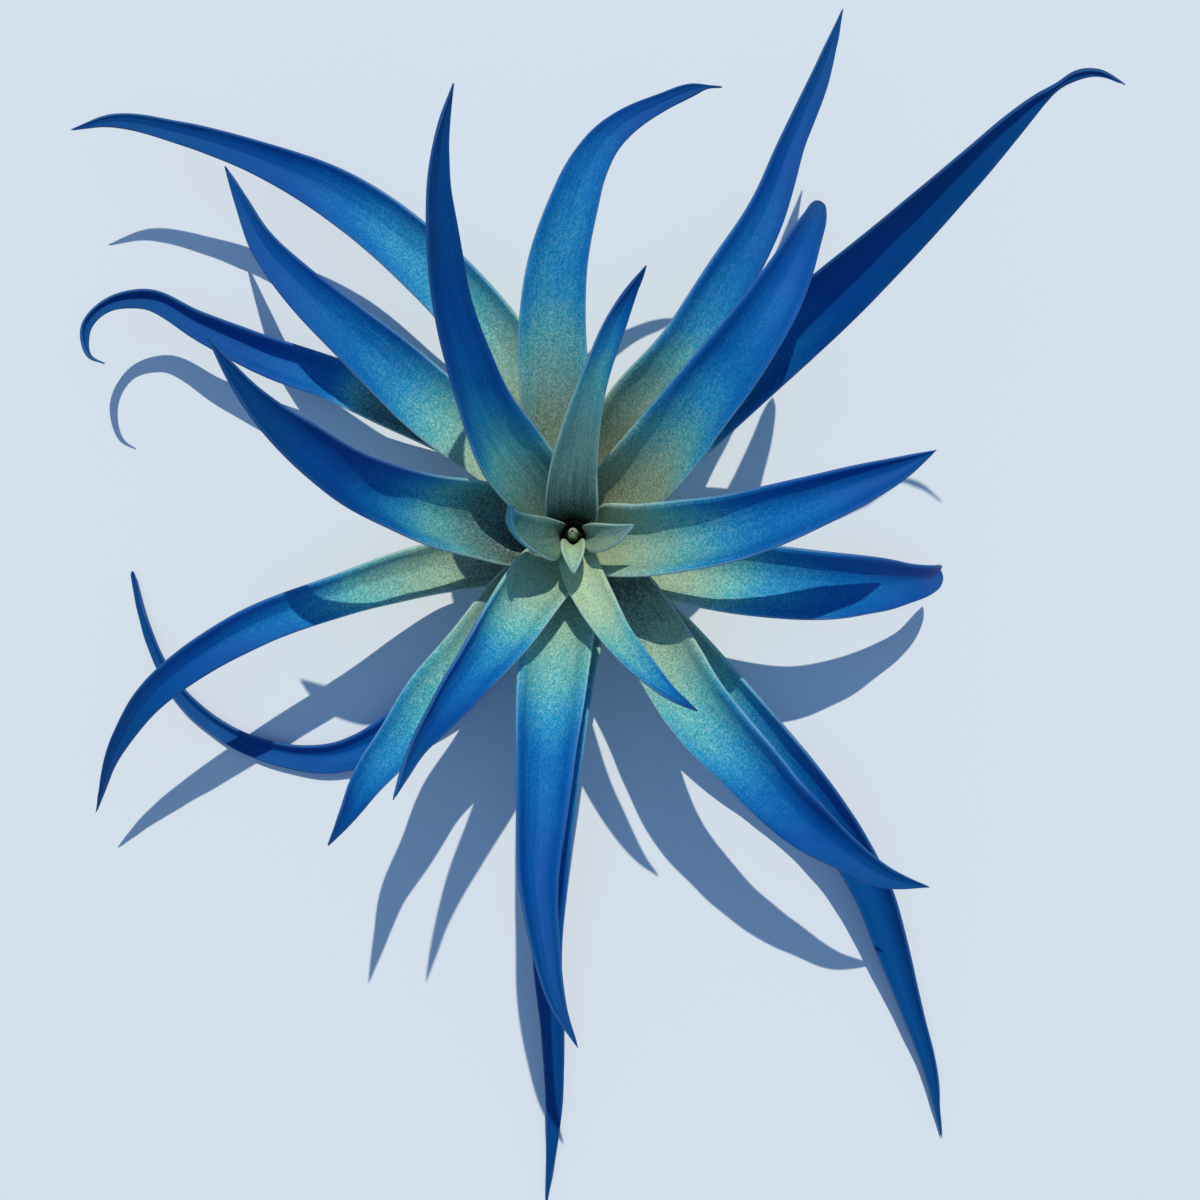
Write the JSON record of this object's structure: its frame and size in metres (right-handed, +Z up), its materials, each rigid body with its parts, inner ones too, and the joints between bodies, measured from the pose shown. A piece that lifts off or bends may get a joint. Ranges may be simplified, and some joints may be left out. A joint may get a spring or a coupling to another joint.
{
  "type": "blue-dyed xerographica-type air plant",
  "caption": "Rosette of long, narrow, channelled leaves round a short stem, sage green at the heart, turquoise along the blades and deep blue at the tips.",
  "frame": {"origin": "middle of the flat base of the stem, on the surface that the plant stands on", "axes": "+Z up along the stem, +Y along the longest spread of the leaves, +X to the right of it"},
  "size_m": [0.1932, 0.255, 0.102],
  "materials": {
    "blade": "matte, finely speckled with silvery scales, sage at the root to deep blue at the tip",
    "young_leaf": "matte grey-green with a faint bloom",
    "stem": "rough dry brown bark"
  },
  "bodies": {
    "root": {"stem": "stem", "leaf_01": "blade", "leaf_02": "blade", "leaf_03": "blade", "leaf_04": "blade", "leaf_05": "blade", "leaf_06": "blade", "leaf_07": "blade", "leaf_08": "blade", "leaf_09": "blade", "leaf_10": "blade", "leaf_11": "blade", "leaf_12": "blade", "leaf_13": "blade", "leaf_14": "blade", "leaf_15": "blade", "leaf_16": "blade", "leaf_17": "blade", "leaf_18": "blade", "leaf_19": "blade", "leaf_20": "blade", "leaf_21": "blade", "heart_leaf_1": "young_leaf", "heart_leaf_2": "young_leaf", "heart_leaf_3": "young_leaf", "bud": "young_leaf"}
  },
  "joints": []
}
